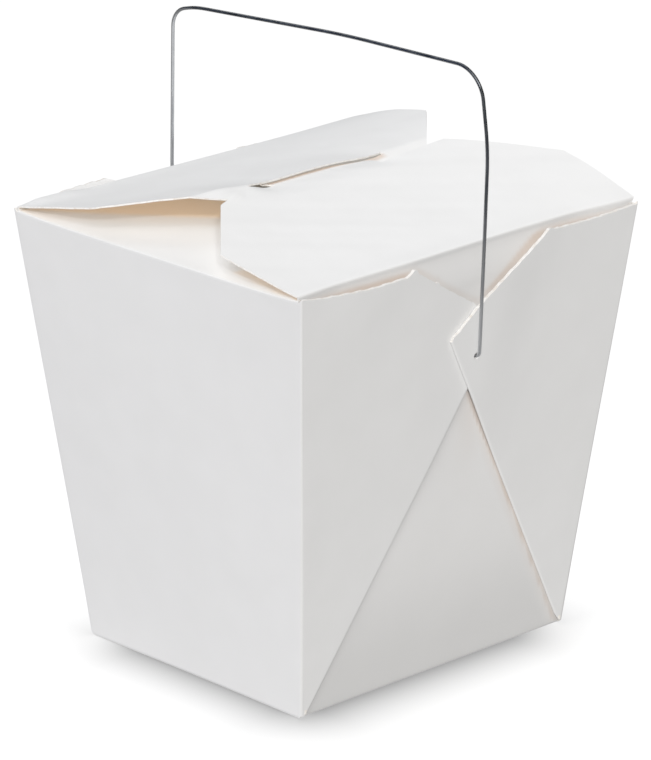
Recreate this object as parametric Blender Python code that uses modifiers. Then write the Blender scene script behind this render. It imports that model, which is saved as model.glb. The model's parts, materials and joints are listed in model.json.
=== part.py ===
"""Noodle takeaway box: a folded board pail, shut, with a bent wire handle.

Metres, +Z up. The origin is the middle of the base, on the surface that the box stands on.
The plain panels face -Y (front) and +Y (back). The gusseted end panels face -X and +X.
The carton is one folded sheet of board, so it is one solid. The wire turns in its two end holes.
"""
from math import atan, atan2, cos, pi, radians, sin, tan

import bmesh
import bpy
import numpy as np
from mathutils import Matrix, Vector

MM = 0.001
OVERHANG = 2 * MM                # a cutter reaches this far past what it cuts

# Carton
HEIGHT = 101.6 * MM
BASE_X = 69.4 * MM
BASE_Y = 82.0 * MM
RIM_X = 92.7 * MM
RIM_Y = 103.5 * MM
BOARD = 0.45 * MM                # thickness of the board
FOLD_RADIUS = 0.9 * MM           # outside of a folded edge
GUSSET = 2 * BOARD               # a gusset is the corner web folded double
END_LEAN = atan((RIM_X - BASE_X) / 2 / HEIGHT)      # the ends lean out by this angle

# Gussets, as (y, height up the end panel): front one below, back one on top of it
CREASE_CROSS = (2.9 * MM, 67.0 * MM)        # where the two creases cross
UNDER_PEAK = (-18.1 * MM, 100.9 * MM)       # top corner of the front gusset
NOTCH = (1.6 * MM, 88.7 * MM)               # bottom of the V between the gussets
OVER_PEAK = (22.6 * MM, 100.9 * MM)         # top corner of the back gusset
OVER_TIP = (-5.2 * MM, 81.6 * MM)           # tip of the back gusset, across the middle
RAW_EDGE_DROP = 1.3 * MM                    # raw edges end this far under the lid's hinge,
RAW_EDGE_BOW = 0.9 * MM                     # less at the corners and more where they are lowest,
RAW_EDGE_LOW_Y = 32 * MM                    # which is at this Y
TIP_LIFT = 0.45 * MM                        # the upper tip rides up this far on the gusset below
TIP_SINK = 0.25 * MM                        # and its root is this far inside that gusset
TIP_ROOT_Y = 14 * MM                        # Y where the tip starts to rise
TIP_ROOT_SPAN = (71 * MM, 90 * MM)          # heights between which it does
TIP_INSET = 0.3 * MM                        # the raised tip is this much smaller than the gusset's

# Lid: both flaps rise inward from the end panels' top edges like a low roof
HINGE_X = RIM_X / 2 - GUSSET     # the flaps are hinged on the end panels, inside the gussets
HINGE_LIP = 0.15 * MM            # the folded board stands this far out from the end panel
HINGE_RISE = 0.2 * MM            # and its top this far over the rim,
HINGE_FADE = 6 * MM              # which fades out over this length
FLAP_SIDE = 25.0 * MM            # hinge to the end of a straight side
FLAP_REACH = 42.5 * MM           # hinge to shoulder or crease
FLAP_WIDTH = 102.6 * MM
# Height of a flap's top over the rim at its (front edge, middle, back edge)
TONGUE_FLAP_SIDE = (4.7 * MM, 4.4 * MM, 6.2 * MM)
TONGUE_FLAP_TIP = (7.4 * MM, 7.2 * MM, 8.7 * MM)
SLOT_FLAP_SIDE = (5.3 * MM, 4.5 * MM, 6.9 * MM)
SLOT_FLAP_TIP = (8.6 * MM, 7.3 * MM, 7.5 * MM)
TONGUE_ENDS = (-15.2 * MM, 14.2 * MM)
TONGUE_LENGTH = 9.5 * MM
TONGUE_EASE = 6 * MM             # the curl fades in and out over this width
CURL_START = 38.0 * MM           # from here the tongue curls down, under the other flap
CURL_RADIUS = 32.0 * MM
SLOT_ENDS = (-20.8 * MM, 19.6 * MM)
SLOT_GAP = 0.8 * MM
STRIP_LENGTH = 10.0 * MM         # board beyond the slotted crease
STRIP_SLOPE = radians(20)
STRIP_DIP = 2.1 * MM             # the strip is pushed down where the tongue rides over it
STRIP_EASE = 3 * MM              # the dip fades in and out over this width
SIDE_COLUMNS = 6                 # faces from a flap's side to its tongue or slot,
MIDDLE_COLUMNS = 16              # and along that

# Wire handle
WIRE_RADIUS = 0.5 * MM
HOLE_RADIUS = 0.8 * MM
HOLE_DEPTH = 6.5 * MM
PIVOT_Y = 3.0 * MM
PIVOT_Z = 75.8 * MM
WIRE_LEAN = radians(5)           # it leans forward where it stands
WIRE_END_X = 39.0 * MM           # the ends reach this far in
# Bends of the wire from left to right, seen from the front: (x, height over the holes, radius)
WIRE_BENDS = (
    (-44.8, 0.0, 1.5), (-53.6, 26.0, 45.0), (-47.3, 63.2, 5.5), (8.0, 66.6, 330.0),
    (51.6, 67.3, 8.5), (49.1, 32.0, 90.0), (44.8, 0.0, 1.5),
)


def clear_scene():
    for old in list(bpy.data.objects):
        bpy.data.objects.remove(old, do_unlink=True)


def collection(name):
    made = bpy.data.collections.new(name)
    bpy.context.scene.collection.children.link(made)
    return made


def material(name, colour, roughness, metallic):
    made = bpy.data.materials.new(name)
    made.use_nodes = True
    shader = made.node_tree.nodes["Principled BSDF"]
    shader.inputs["Base Color"].default_value = (*colour, 1.0)
    shader.inputs["Roughness"].default_value = roughness
    shader.inputs["Metallic"].default_value = metallic
    return made


def add_object(name, data, home):
    made = bpy.data.objects.new(name, data)
    home.objects.link(made)
    return made


def hide_as_tool(tool):
    tool.hide_render = True
    tool.display_type = "WIRE"


def boolean(target, tool, operation):
    hide_as_tool(tool)
    step = target.modifiers.new(f"{operation.lower()} {tool.name}", "BOOLEAN")
    step.operation = operation
    step.object = tool
    step.solver = "EXACT"


def mirror_x(piece):
    """Give the piece its twin at the other end of the box."""
    step = piece.modifiers.new("other end", "MIRROR")
    step.use_axis = (True, False, False)
    step.use_mirror_merge = False
    step.mirror_object = bpy.data.objects["box_origin"]


def solidify(piece, thickness, offset):
    step = piece.modifiers.new("thickness", "SOLIDIFY")
    step.thickness = thickness
    step.offset = offset


def half_width(height):
    """Half of the carton's X width at a height."""
    return BASE_X / 2 + height * tan(END_LEAN)


def half_depth(height):
    """Half of the carton's Y depth at a height."""
    return (BASE_Y + (RIM_Y - BASE_Y) * height / HEIGHT) / 2


def tapered_body(home):
    """The pail: a block that widens from base to rim, with folded round edges."""
    mesh = bpy.data.meshes.new("carton")
    form = bmesh.new()
    bmesh.ops.create_cube(form, size=1.0)
    for corner in form.verts:
        height = HEIGHT if corner.co.z > 0 else 0.0
        corner.co.x = half_width(height) * (1 if corner.co.x > 0 else -1)
        corner.co.y = half_depth(height) * (1 if corner.co.y > 0 else -1)
        corner.co.z = height
    folds = form.edges.layers.float.new("bevel_weight_edge")
    for edge in form.edges:
        one, other = (corner.co for corner in edge.verts)
        along_end_rim = min(one.z, other.z) > 0 and one.x * other.x > 0
        edge[folds] = 0.0 if along_end_rim else 1.0
    form.to_mesh(mesh)
    form.free()
    body = add_object("carton", mesh, home)
    fold = body.modifiers.new("folded edges", "BEVEL")
    fold.width = FOLD_RADIUS
    fold.segments = 3
    fold.limit_method = "WEIGHT"
    return body


def end_plate(name, outline, home):
    """A flat outline of (y, height up the slope) points laid on the +X end's outer plane."""
    mesh = bpy.data.meshes.new(name)
    form = bmesh.new()
    form.faces.new([form.verts.new((y, up, 0.0)) for y, up in outline])
    form.to_mesh(mesh)
    form.free()
    plate = add_object(name, mesh, home)
    up_slope = Vector((sin(END_LEAN), 0.0, cos(END_LEAN)))
    across = Vector((0.0, 1.0, 0.0))
    outward = across.cross(up_slope)
    turn = Matrix((across, up_slope, outward)).transposed().to_4x4()
    plate.matrix_world = Matrix.Translation((BASE_X / 2, 0.0, 0.0)) @ turn
    return plate


def slope_length(height):
    return height / cos(END_LEAN)


def cut_end_panels(body, tools):
    """Sink the end panel where no gusset covers it: below the creases and in the V at the top."""
    corner = BASE_Y / 2 - 2 * FOLD_RADIUS
    triangle = end_plate("below_creases", [
        (-corner, -OVERHANG), (corner, -OVERHANG), (corner, 0.0), CREASE_CROSS, (-corner, 0.0),
    ], tools)
    top = slope_length(HEIGHT) + OVERHANG
    rim = half_depth(HEIGHT) - 1.5 * FOLD_RADIUS
    high = slope_length(HEIGHT) - RAW_EDGE_DROP + RAW_EDGE_BOW
    low = slope_length(HEIGHT) - RAW_EDGE_DROP - RAW_EDGE_BOW
    notch = end_plate("above_gussets", [
        (-rim, high), (-RAW_EDGE_LOW_Y, low), UNDER_PEAK, NOTCH, OVER_PEAK,
        (RAW_EDGE_LOW_Y, low), (rim, high), (rim, top), (-rim, top),
    ], tools)
    depth = 6 * GUSSET
    for pocket in (triangle, notch):
        solidify(pocket, depth, 1.0 - 2 * GUSSET / depth)
        mirror_x(pocket)
        boolean(body, pocket, "DIFFERENCE")


def add_upper_tip(body, tools):
    """The back gusset's tip crosses the middle and rides up on the front gusset."""
    tip = end_plate("upper_tip", [
        (NOTCH[0] + TIP_INSET, NOTCH[1] - TIP_INSET), OVER_TIP,
        (CREASE_CROSS[0] + TIP_INSET, CREASE_CROSS[1] + TIP_INSET),
        (TIP_ROOT_Y, TIP_ROOT_SPAN[0]), (TIP_ROOT_Y, TIP_ROOT_SPAN[1]),
    ], tools)
    for point in tip.data.vertices:
        along = (TIP_ROOT_Y - point.co.x) / (TIP_ROOT_Y - OVER_TIP[0])
        point.co.z = along * TIP_LIFT - (1 - along) * TIP_SINK
    solidify(tip, GUSSET, -1.0)
    mirror_x(tip)
    boolean(body, tip, "UNION")


def drill_wire_holes(body, tools):
    mesh = bpy.data.meshes.new("wire_holes")
    form = bmesh.new()
    length = HOLE_DEPTH + 2 * OVERHANG
    bmesh.ops.create_cone(form, cap_ends=True, segments=24, radius1=HOLE_RADIUS, radius2=HOLE_RADIUS,
                          depth=length, matrix=Matrix.Rotation(pi / 2, 4, "Y"))
    form.to_mesh(mesh)
    form.free()
    drill = add_object("wire_holes", mesh, tools)
    drill.location = (half_width(PIVOT_Z) - HOLE_DEPTH + length / 2, PIVOT_Y, PIVOT_Z)
    mirror_x(drill)
    boolean(body, drill, "DIFFERENCE")


def flap_side(u):
    """A flap's half width: straight sides, then clipped at 45 degrees."""
    return FLAP_WIDTH / 2 - np.maximum(u - FLAP_SIDE, 0.0)


def rise(u, y, side, tip):
    """Height of a flap's top over the rim, u in from its hinge: a parabola in u and in y.

    It passes through the heights at the straight sides' ends and at the reach, where each is
    (front edge, middle, back edge).
    """
    across = y / flap_side(u)
    at_side, at_tip = (
        middle + (back - front) / 2 * across + ((back + front) / 2 - middle) * across ** 2
        for front, middle, back in (side, tip)
    )
    by_side = u * (FLAP_REACH - u) / (FLAP_SIDE * (FLAP_REACH - FLAP_SIDE))
    by_tip = u * (u - FLAP_SIDE) / (FLAP_REACH * (FLAP_REACH - FLAP_SIDE))
    return at_side * by_side + at_tip * by_tip


def ramp(value, start, end):
    """0 before start, 1 after end, and an S curve between."""
    t = np.clip((value - start) / (end - start), 0.0, 1.0)
    return t * t * (3 - 2 * t)


def within(y, ends, ease):
    """1 between the two ends and 0 outside them, eased at both."""
    return ramp(y, ends[0] - ease, ends[0] + ease) * (1 - ramp(y, ends[1] - ease, ends[1] + ease))


def sheet(name, u_lines, middle, height, open_at, hinge_sign, home):
    """A flap of board. Lines at each u run from side to side, with even columns in its middle.

    Faces are left out where open_at(u, y) holds at their middle.
    """
    u = np.asarray(u_lines)[:, None]
    side = flap_side(u)
    outer = np.linspace(0.0, 1.0, SIDE_COLUMNS + 1)[None, :]
    inner = np.linspace(*middle, MIDDLE_COLUMNS + 1)[None, :] + 0 * u
    y = np.concatenate([-side + (middle[0] + side) * outer[:, :-1], inner,
                        middle[1] + (side - middle[1]) * outer[:, 1:]], axis=1)
    u = u + 0 * y
    points = np.stack([hinge_sign * (HINGE_X - u), y, HEIGHT + height(u, y)], axis=-1)
    columns = y.shape[1]
    cell_u = (u[:-1, :-1] + u[1:, 1:]) / 2
    cell_y = (y[:-1, :-1] + y[1:, 1:] + y[1:, :-1] + y[:-1, 1:]) / 4
    rows, cols = np.nonzero(~open_at(cell_u, cell_y))
    first = rows * columns + cols
    faces = np.stack([first, first + columns, first + columns + 1, first + 1], axis=-1)
    if hinge_sign > 0:
        faces = faces[:, ::-1]
    mesh = bpy.data.meshes.new(name)
    mesh.from_pydata(points.reshape(-1, 3).tolist(), [], faces.tolist())
    form = bmesh.new()
    form.from_mesh(mesh)
    bmesh.ops.delete(form, geom=[v for v in form.verts if not v.link_faces], context="VERTS")
    form.to_mesh(mesh)
    form.free()
    piece = add_object(name, mesh, home)
    solidify(piece, BOARD, -1.0)
    return piece


def fold_rise(u):
    """The folded board stands a little over the rim, which fades inward."""
    return HINGE_RISE * (1 - ramp(u, 0.0, HINGE_FADE))


def tongue_flap_height(u, y):
    """The tongue's continuation of the flap, curled down so that it passes through the slot."""
    curl = np.maximum(u - CURL_START, 0.0) ** 2 / (2 * CURL_RADIUS) * within(y, TONGUE_ENDS, TONGUE_EASE)
    return fold_rise(u) + rise(u, y, TONGUE_FLAP_SIDE, TONGUE_FLAP_TIP) - curl


def slot_flap_height(u, y):
    """Up to the crease, then down again, with a dip where the tongue lies on the strip."""
    beyond = np.maximum(u - FLAP_REACH, 0.0)
    panel = fold_rise(u) + rise(np.minimum(u, FLAP_REACH), y, SLOT_FLAP_SIDE, SLOT_FLAP_TIP)
    dip = STRIP_DIP * within(y, SLOT_ENDS, STRIP_EASE) * ramp(beyond, 0.0, SLOT_GAP)
    return panel - beyond * tan(STRIP_SLOPE) - dip


def between(y, ends):
    return (y > ends[0]) & (y < ends[1])


def add_lid(body, tools):
    panel = [-HINGE_LIP, *np.linspace(1 * MM, FLAP_SIDE, 7), *np.linspace(FLAP_SIDE, FLAP_REACH, 6)[1:]]
    tongue = np.linspace(FLAP_REACH, FLAP_REACH + TONGUE_LENGTH, 6)[1:]
    strip_start = FLAP_REACH + SLOT_GAP
    strip = np.linspace(strip_start, FLAP_REACH + STRIP_LENGTH, 5)

    def beside_tongue(u, y):
        return (u > FLAP_REACH) & ~between(y, TONGUE_ENDS)

    def in_slot(u, y):
        return (u > FLAP_REACH) & (u < strip_start) & between(y, SLOT_ENDS)

    tongue_flap = sheet("tongue_flap", [*panel, *tongue], TONGUE_ENDS, tongue_flap_height,
                        beside_tongue, 1, tools)
    slot_flap = sheet("slot_flap", [*panel, *strip], SLOT_ENDS, slot_flap_height,
                      in_slot, -1, tools)
    for flap in (tongue_flap, slot_flap):
        boolean(body, flap, "UNION")


def round_bends(bends):
    """Points along straight runs joined by arcs. Each bend is (x, z, radius), in millimetres."""
    ends = (WIRE_END_X / MM, 0.0)
    corners = [Vector((-ends[0], 0.0))] + [Vector(b[:2]) for b in bends] + [Vector(ends)]
    path = [corners[0]]
    for before, corner, after, bend in zip(corners, corners[1:], corners[2:], bends):
        back = (before - corner).normalized()
        ahead = (after - corner).normalized()
        half_angle = back.angle(ahead) / 2
        radius = bend[2]
        centre = corner + (back + ahead).normalized() * radius / sin(half_angle)
        start = corner + back * radius / tan(half_angle) - centre
        end = corner + ahead * radius / tan(half_angle) - centre
        first, turn = atan2(start.y, start.x), start.angle_signed(end)
        steps = max(3, round(abs(turn) / radians(12)))
        path += [centre + radius * Vector((cos(first - turn * i / steps), sin(first - turn * i / steps)))
                 for i in range(steps + 1)]
    return path + [corners[-1]]


def add_wire(home, pivot):
    curve = bpy.data.curves.new("wire_handle", "CURVE")
    curve.dimensions = "3D"
    curve.bevel_depth = WIRE_RADIUS
    curve.bevel_resolution = 2
    curve.use_fill_caps = True
    path = round_bends(WIRE_BENDS)
    spline = curve.splines.new("POLY")
    spline.points.add(len(path) - 1)
    for point, place in zip(spline.points, path):
        point.co = (place.x * MM, 0.0, place.y * MM, 1.0)
    wire = add_object("wire_handle", curve, home)
    wire.parent = pivot
    return wire


def main():
    clear_scene()
    home = collection("noodle_takeaway_box")
    tools = collection("cutters")
    add_object("box_origin", None, tools)

    body = tapered_body(home)
    cut_end_panels(body, tools)
    add_upper_tip(body, tools)
    drill_wire_holes(body, tools)
    add_lid(body, tools)
    body.data.materials.append(material("white_board", (0.80, 0.79, 0.77), 0.55, 0.0))

    pivot = add_object("handle_pivot", None, home)
    pivot.location = (0.0, PIVOT_Y, PIVOT_Z)
    pivot.rotation_euler = (WIRE_LEAN, 0.0, 0.0)
    wire = add_wire(home, pivot)
    wire.data.materials.append(material("steel_wire", (0.45, 0.48, 0.50), 0.35, 1.0))


main()
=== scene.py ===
import json
from math import atan, atan2, cos, pi, radians, sin, tan

import bmesh
import bpy
import numpy as np
from mathutils import Matrix, Vector


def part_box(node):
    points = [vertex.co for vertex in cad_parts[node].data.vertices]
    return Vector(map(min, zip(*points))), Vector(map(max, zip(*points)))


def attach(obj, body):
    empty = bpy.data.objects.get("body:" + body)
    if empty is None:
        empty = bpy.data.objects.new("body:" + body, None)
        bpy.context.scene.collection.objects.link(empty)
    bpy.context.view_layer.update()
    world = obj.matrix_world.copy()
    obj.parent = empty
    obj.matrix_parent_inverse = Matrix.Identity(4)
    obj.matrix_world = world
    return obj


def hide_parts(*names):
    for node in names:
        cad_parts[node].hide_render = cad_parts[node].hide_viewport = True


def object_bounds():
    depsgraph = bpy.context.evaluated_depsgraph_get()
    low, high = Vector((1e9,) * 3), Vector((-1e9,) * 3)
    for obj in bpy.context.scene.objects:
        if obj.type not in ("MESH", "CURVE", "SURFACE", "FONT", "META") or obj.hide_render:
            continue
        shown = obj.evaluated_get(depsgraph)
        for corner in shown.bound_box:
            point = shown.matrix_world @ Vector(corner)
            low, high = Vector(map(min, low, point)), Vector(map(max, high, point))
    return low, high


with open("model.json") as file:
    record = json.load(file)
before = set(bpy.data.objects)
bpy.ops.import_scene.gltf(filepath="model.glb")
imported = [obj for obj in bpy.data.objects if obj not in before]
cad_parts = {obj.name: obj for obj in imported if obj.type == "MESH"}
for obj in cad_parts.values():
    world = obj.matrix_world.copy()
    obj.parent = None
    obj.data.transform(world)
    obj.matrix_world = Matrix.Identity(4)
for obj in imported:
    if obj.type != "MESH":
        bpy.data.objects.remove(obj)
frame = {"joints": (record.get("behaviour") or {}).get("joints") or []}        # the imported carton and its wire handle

# A folded board pail, shut, with a wire handle. Metres, +Z up, origin in the middle of the base.
# The plain panels face -Y and +Y. The end panels, with the gussets and the wire's holes, face -X and +X.
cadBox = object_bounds()
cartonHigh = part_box("carton")[1]
pivot = np.array(frame["joints"][0]["pos_m"])
mm = 0.001

pail = {
    "rimHeight": 101.6 * mm,
    "baseHalfX": 34.7 * mm,
    "baseHalfY": 41.0 * mm,
    "rimHalfX": cartonHigh.x,
    "rimHalfY": 51.55 * mm,
    "board": 0.34 * mm,
    "foldRadius": 0.9 * mm,      # of the folds round the base
    "baseInset": 1.83 * mm,      # how far the flat of the base ends short of its half width
    "endInset": 0.75 * mm,       # how far the end panels lie inside the gussets' plane
    "bow": 0.8 * mm,             # bulge of the front and back panels
    # radius of the upright folds, and how much larger a third of the way up
    "uprightFold": (0.25 * mm, 0.4 * mm),
    # painted shade on the upright folds, which dims their highlight
    "foldShade": 0.4,            # how grey the upright folds look
    "edgeWaver": 0.14 * mm,      # unevenness of the raw edges
    "foldSteps": 5,              # lines across a fold: by the base and upright, along the rim, at the hinges
    "rimSteps": 7,
    "hingeSteps": 6,
    "rows": 34,                  # of the front and back panels, and of the base
    "columns": 61,
    "baseRows": 21,
}
leanX = atan((pail["rimHalfX"] - pail["baseHalfX"]) / pail["rimHeight"])
leanY = atan((pail["rimHalfY"] - pail["baseHalfY"]) / pail["rimHeight"])


# 0 before start, 1 after end, and an S curve between: three times the square of the way less twice its cube
def ramp(value, start, end):
    t = np.clip((value - start) / (end - start), 0.0, 1.0)
    return t * t * (3 - 2 * t)


# 1 at the centre, falling off like a bell: e to the minus square of the distance in widths
def bell(value, centre, width):
    return np.exp(-((value - centre) / width) ** 2)


# 1 between two places and 0 outside them, eased at both
def within(value, ends, ease):
    return ramp(value, ends[0] - ease, ends[0] + ease) * (1 - ramp(value, ends[1] - ease, ends[1] + ease))


# smooth unevenness between about -1 and 1: three sine waves of shrinking length with seeded phases
def waver(distance, length, seed):
    phases = np.random.default_rng(seed).uniform(0, 2 * pi, 3)
    waves = [np.sin(2 * pi * distance / (length * share) + phase)
             for share, phase in zip((1.0, 0.43, 0.19), phases)]
    return (waves[0] + 0.6 * waves[1] + 0.4 * waves[2]) / 2


# half the pail's width and half its depth at a height: those of the base, growing with the walls' lean
def halfWidth(z):
    return pail["baseHalfX"] + z * tan(leanX)


def halfDepth(z):
    return pail["baseHalfY"] + z * tan(leanY)


# a place on the +X end's plane, y across it, s up its slope and out from it:
# x is the base's half width + s sin(lean) + out cos(lean), and z is s cos(lean) - out sin(lean)
def endPlace(y, s, out):
    x = pail["baseHalfX"] + s * sin(leanX) + out * cos(leanX)
    z = s * cos(leanX) - out * sin(leanX)
    return np.stack(np.broadcast_arrays(x, y, z), axis=-1)


# lines between two edges of board: a cubic Bezier from each point of one to the other, whose handles
# leave along both sheets and are 0.39 of the gap long, which makes a quarter turn nearly round
def foldBetween(first, firstWay, last, lastWay, steps):
    firstWay, lastWay = np.asarray(firstWay), np.asarray(lastWay)
    handle = 0.39 * np.linalg.norm(last - first, axis=-1, keepdims=True)
    t = np.linspace(0, 1, steps + 2)[1:-1, None, None]
    return ((1 - t) ** 3 * first + 3 * (1 - t) ** 2 * t * (first + handle * firstWay)
            + 3 * (1 - t) * t ** 2 * (last - handle * lastWay) + t ** 3 * last)


# evenly spaced places along an outline, moved a little so that its corners are among them
def traced(corners, count):
    corners = np.asarray(corners)
    reached = np.concatenate([[0], np.cumsum(np.linalg.norm(np.diff(corners, axis=0), axis=1))])
    at = np.linspace(0, reached[-1], count)
    at[np.rint(reached / reached[-1] * (count - 1)).astype(int)] = reached
    return np.stack([np.interp(at, reached, corners[:, k]) for k in range(2)], axis=-1), at


# the mesh of a grid of points. Cells where kept is False are left out, and points that meet are merged.
# the tints, each 0 to 1 at every point, are painted shade: how tan or how shaded the board looks there
def gridMesh(name, points, kept, **paintedTints):
    columns = points.shape[1]
    row, column = np.nonzero(kept)
    first = row * columns + column
    faces = np.stack([first, first + columns, first + columns + 1, first + 1], axis=-1)
    used, faces = np.unique(faces, return_inverse=True)
    mesh = bpy.data.meshes.new(name)
    mesh.from_pydata(points.reshape(-1, 3)[used].tolist(), [], faces.reshape(-1, 4).tolist())
    for paintedTint, amount in paintedTints.items():
        mesh.attributes.new(paintedTint, "FLOAT", "POINT").data.foreach_set("value", amount.reshape(-1)[used])
    form = bmesh.new()
    form.from_mesh(mesh)
    bmesh.ops.remove_doubles(form, verts=form.verts, dist=2e-6)
    form.to_mesh(mesh)
    form.free()
    return mesh


# a new object, linked into the scene
def addObject(name, data):
    piece = bpy.data.objects.new(name, data)
    bpy.context.scene.collection.objects.link(piece)
    return piece


# keeps what the modifiers make as the object's own mesh, smooth but for edges sharper than an angle
def settle(piece, sharpFrom=radians(32)):
    graph = bpy.context.evaluated_depsgraph_get()
    mesh = bpy.data.meshes.new_from_object(piece.evaluated_get(graph))
    piece.modifiers.clear()
    piece.data = mesh
    mesh.shade_smooth()
    mesh.set_sharp_from_angle(angle=sharpFrom)
    return piece


hole = {
    "radius": 0.85 * mm,
    "depth": 12 * mm,            # length of the cutter
    "middleX": 43 * mm,
    "sides": 28,
}


# round cutters for the wire's holes, one through each end
def makeDrill():
    form = bmesh.new()
    for side in (-1, 1):
        middle = Matrix.Translation((side * hole["middleX"], pivot[1], pivot[2]))
        bmesh.ops.create_cone(form, cap_ends=True, segments=hole["sides"], radius1=hole["radius"],
                              radius2=hole["radius"], depth=hole["depth"],
                              matrix=middle @ Matrix.Rotation(pi / 2, 4, "Y"))
    mesh = bpy.data.meshes.new("drill")
    form.to_mesh(mesh)
    form.free()
    return addObject("drill", mesh)


# a piece of board: its outer face is the mesh, and its thickness, inner face and raw edges are added inside.
# The wire's holes are cut through all the layers
def boardPiece(name, mesh, finishes):
    piece = addObject(name, mesh)
    for finish in finishes:
        mesh.materials.append(finish)
    wall = piece.modifiers.new("wall", "SOLIDIFY")
    wall.thickness = pail["board"]
    wall.offset = -1.0
    wall.material_offset = 1
    wall.material_offset_rim = 2
    holes = piece.modifiers.new("holes", "BOOLEAN")
    holes.operation = "DIFFERENCE"
    holes.object = drill
    return settle(piece)


drill = makeDrill()
webs = {
    "foldHalf": 0.36 * mm,       # half the thickness of board folded double
    "pressedIn": 0.35 * mm,      # how far the lower gusset is pressed in under the upper one's tip
    "ridesOver": 0.58 * mm,      # how far the upper one's tip rides up on it
    "flare": (0.35 * mm, 0.45 * mm),     # how far the lower and the upper one stand off at their raw edges
    "crossing": (40 * mm, 72 * mm),      # between these places up the slope they come to lie on each other
    "thinEnd": 0.03,             # share of a web's height in which it grows to that
    "wrapSteps": 5,              # lines round the crease
    "count": 110,                # places along a raw edge
    "top": 101.9 * mm,           # of the upright folds, up the slope
    "seenAside": 1.8 * mm,       # where the panel shows over a raw edge, to the back of it and below it
    "seenBelow": 0.9 * mm,
    # corners of a web's raw edge in millimetres, as (y, place up the slope), from upright fold to crease
    "frontNear": [(-51.0, 101.9), (-46.0, 101.0), (-38.9, 100.45), (-30.7, 99.95), (-20.3, 100.0),
                  (-19.2, 100.5), (-18.4, 101.2), (-17.5, 101.1), (-17.0, 100.2), (-11.2, 96.6),
                  (-10.4, 96.6), (-9.8, 95.7), (2.0, 88.6), (9.6, 80.5)],
    "backNear": [(51.0, 101.3), (44.0, 101.0), (37.2, 100.8), (30.2, 101.0), (24.6, 101.2), (23.6, 101.8),
                 (22.8, 101.7), (21.6, 100.6), (15.3, 96.7), (11.0, 94.0), (2.6, 88.3), (-3.7, 83.0),
                 (-4.7, 82.5), (-5.0, 81.6)],
    "frontFar": [(-51.0, 101.7), (-46.0, 101.8), (-40.0, 102.0), (-37.5, 102.7), (-30.7, 102.9),
                 (-24.4, 103.0), (-22.8, 102.5), (-16.4, 99.4), (-10.5, 96.0), (2.0, 88.6), (9.6, 80.5)],
    "backFar": [(51.0, 102.0), (44.0, 101.5), (37.2, 101.4), (30.2, 101.6), (16.3, 101.9),
                (15.0, 101.3), (12.3, 98.7), (8.0, 94.0), (2.6, 88.3), (-4.6, 81.7)],
}
flaps = {
    "hingeX": 45.45 * mm,
    "hingeS": 100.8 * mm,        # the end panel's top, up its slope
    "hingeStart": 0.8 * mm,      # where the flap starts, in from the hinge
    "hingeLean": 0.8 * mm,       # how far the panel's top bends in to the hinge
    "halfWidth": 51.5 * mm,
    "straight": 25.0 * mm,       # hinge to about where the sides' corners are clipped
    "reach": 42.5 * mm,          # hinge to shoulder or crease
    # where the clipped corners start, in from the hinge, and their half width at the reach: front, then back
    "tongueClip": ((24.0 * mm, 34.4 * mm), (22.3 * mm, 33.6 * mm)),
    "slotClip": ((27.0 * mm, 38.1 * mm), (25.0 * mm, 34.2 * mm)),
    "stripTaper": (1.7, 1.0),    # how fast the strip's ends close in, front and back
    "rows": (26, 20),            # before the front corner is clipped, and from there to the reach
    "middleColumns": 49,         # over the tongue or the slot, and on each side of it
    "sideColumns": 31,
    "lip": 0.2 * mm,             # how much higher the flaps start at their hinges
    "warp": 0.09 * mm,           # unevenness of the flaps
    # height of a flap's top over the rim at its front edge, middle and back edge
    "tongueSide": (4.35 * mm, 4.4 * mm, 7.1 * mm),
    "tongueTip": (7.5 * mm, 7.2 * mm, 8.7 * mm),
    "slotSide": (5.3 * mm, 4.5 * mm, 7.0 * mm),
    "slotTip": (8.6 * mm, 7.3 * mm, 7.5 * mm),
    "cornerSwell": 0.7 * mm,     # how much the slotted flap bulges over its hinge at the front
    # swells and dents of the slotted crease, as (y, height, width)
    "creaseSwells": ((-29.5 * mm, 0.45 * mm, 5 * mm), (-15.5 * mm, -0.2 * mm, 4 * mm),
                     (1.5 * mm, 0.38 * mm, 9 * mm), (16.5 * mm, -0.28 * mm, 5 * mm)),
    "tongue": (-14.4 * mm, 14.2 * mm),
    "tongueLength": 9.5 * mm,
    # how far the tongue's front shoulder runs on past the reach, and how fast it narrows
    "shoulder": (4.3 * mm, 2.55),
    "curlStart": 38.0 * mm,
    # between the tongue and the slot's upper edge, at the tongue's front edge, middle and back edge
    "tongueGaps": (0.65 * mm, 0.75 * mm, 0.5 * mm),
    "slot": (-20.8 * mm, 19.6 * mm),
    "slotGap": 0.7 * mm,
    "stripLength": 10.0 * mm,    # of the board beyond the slotted crease
    "stripSlope": radians(15.5),
    "stripDip": 1.35 * mm,       # how deep and how far the strip dips where the tongue lies on it
    "dipLength": 4.5 * mm,
    "rest": 0.03 * mm,           # between the tongue's flap and the strip under it
}
dust = {
    "height": 100.4 * mm,        # of the dust flaps' tops at the fold
    "length": 40.0 * mm,
    "taper": 0.16,
    "sideGap": 1.4 * mm,         # between the flap's side and the end panel, at the fold
    "setBack": 0.2 * mm,
    "cornerRise": 0.5 * mm,      # how much higher the fold is at its two ends
    "sag": 0.012,                # how much it sinks for each metre inwards
    "rows": 26,
    "foldRadius": 0.45 * mm,
    "share": 0.981,              # of the panel's width that carries the flap
    # how strongly the painted warm shadow tints the dust flap
    "warmth": 0.9,
    # the painted tan shadow fades out over these two stretches, by distance over the line of the clipped corner
    "deepPaintedShadow": (-20 * mm, -17 * mm),
    "faintPaintedShadow": (-16 * mm, -9 * mm),
    # painted shade: greyer where the light falls on it, and at its fold, which dims the fold's highlight
    "shade": 0.22,               # how grey it is where the light falls on it, and at its fold
    "foldShade": 0.5,
}
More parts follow.
